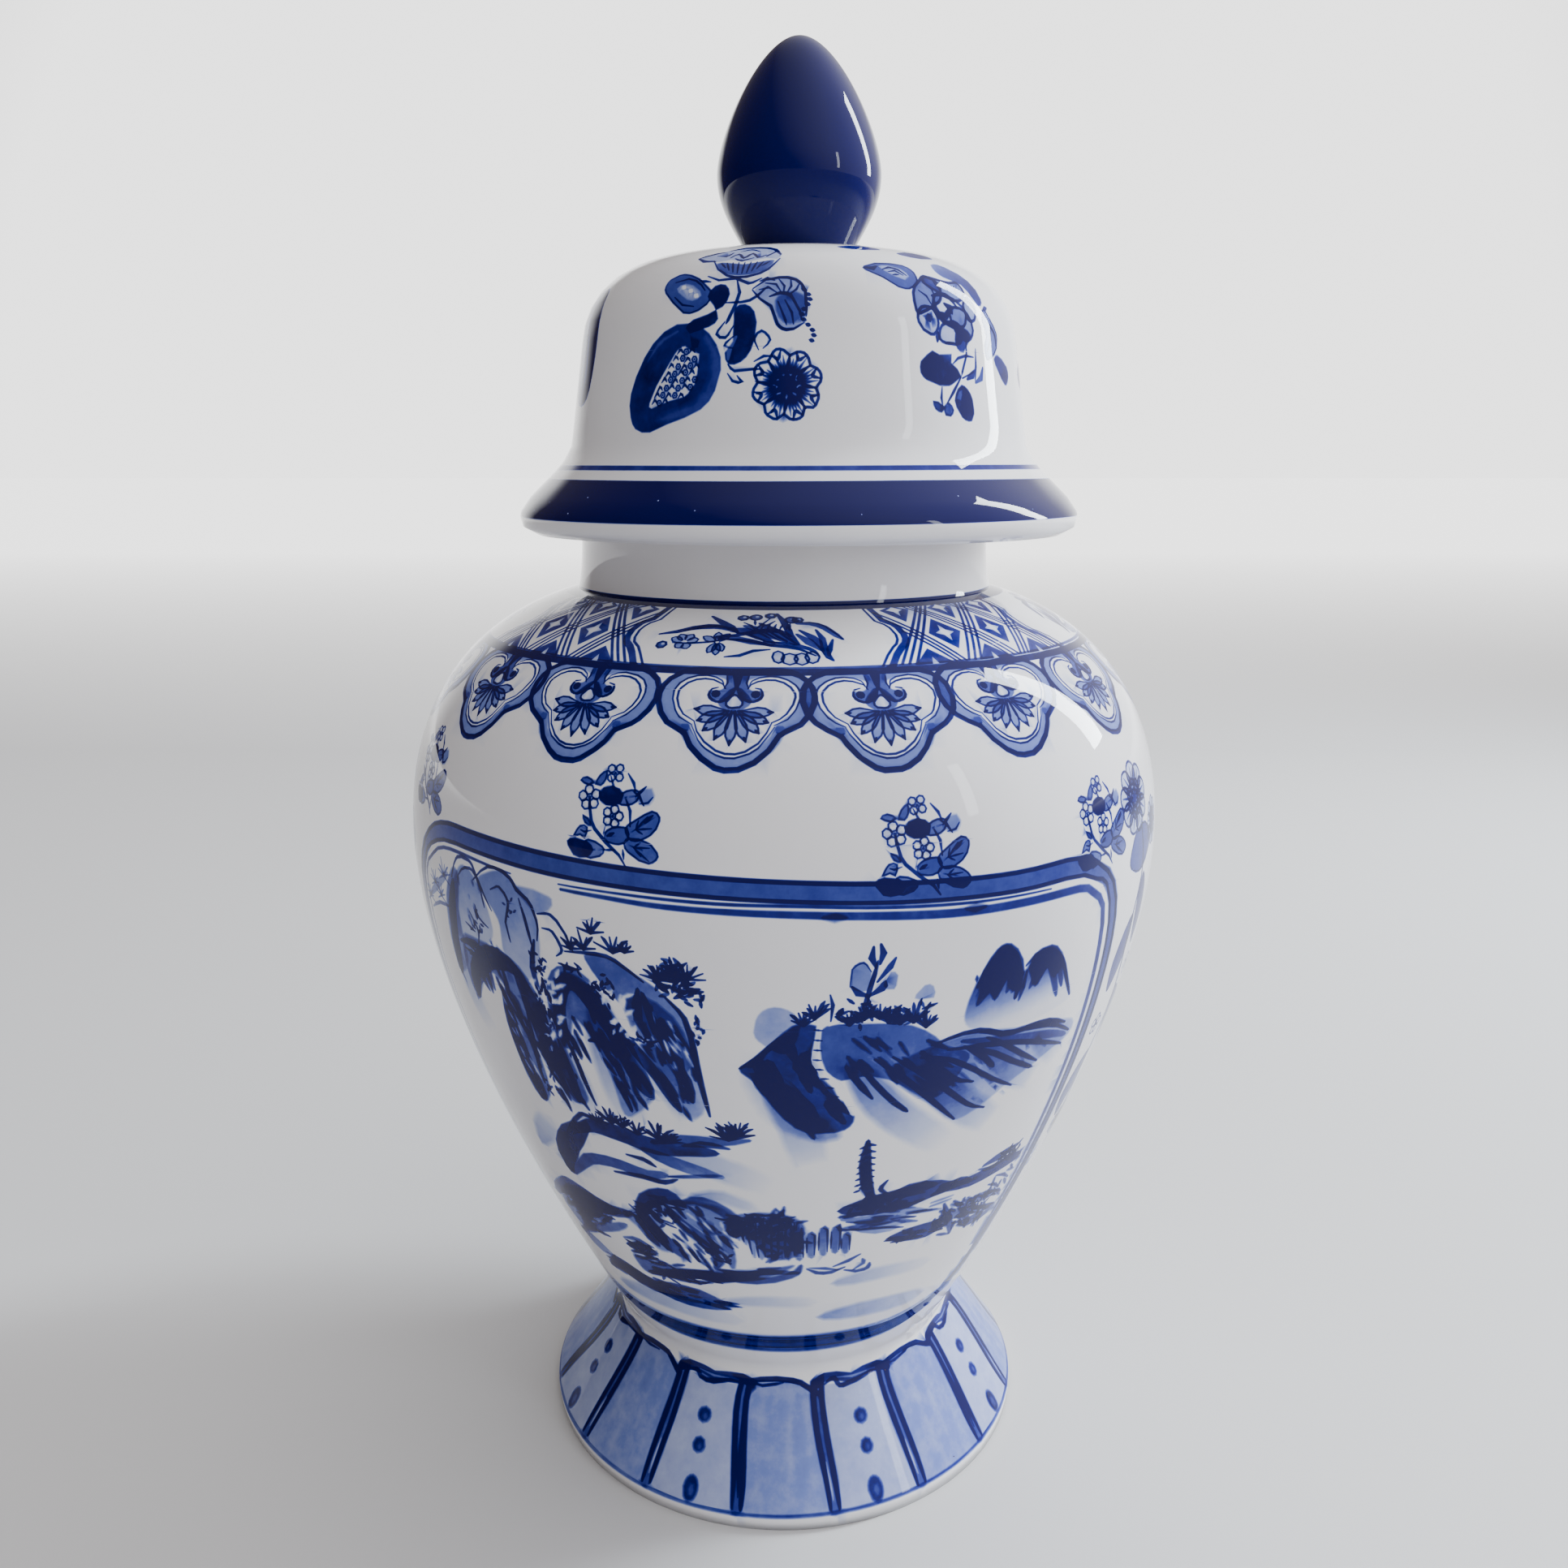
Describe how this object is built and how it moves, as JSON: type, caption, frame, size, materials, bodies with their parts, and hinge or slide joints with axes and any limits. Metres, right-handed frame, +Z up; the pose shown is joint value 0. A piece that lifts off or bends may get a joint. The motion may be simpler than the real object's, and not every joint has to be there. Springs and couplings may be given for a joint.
{
  "type": "ginger jar",
  "caption": "Tall blue-and-white porcelain ginger jar: swelling shoulder, flared hollow foot, loose flanged lid with a bud finial.",
  "frame": {"origin": "centre of the foot, on the surface the jar stands on", "axes": "+Z up along the pot's axis, -Y towards the front of the decoration, +X to the viewer's right"},
  "size_m": [0.2456, 0.2456, 0.4568],
  "materials": {
    "painted_glaze": "gloss",
    "white_glaze": "gloss",
    "foot_glaze": "gloss",
    "lid_glaze": "gloss",
    "bare_clay": "matte",
    "navy_glaze": "gloss"
  },
  "bodies": {
    "jar": {"body_shell": "painted_glaze", "neck_collar": "white_glaze", "foot_skirt": "foot_glaze"},
    "lid": {"lid_dome": "lid_glaze", "lid_seat_ring": "bare_clay", "finial": "navy_glaze"}
  },
  "joints": [
    {"name": "lid_lift", "type": "slide", "parent": "jar", "child": "lid", "axis": [0, 0, 1], "range_m": [0, 0.15]}
  ]
}
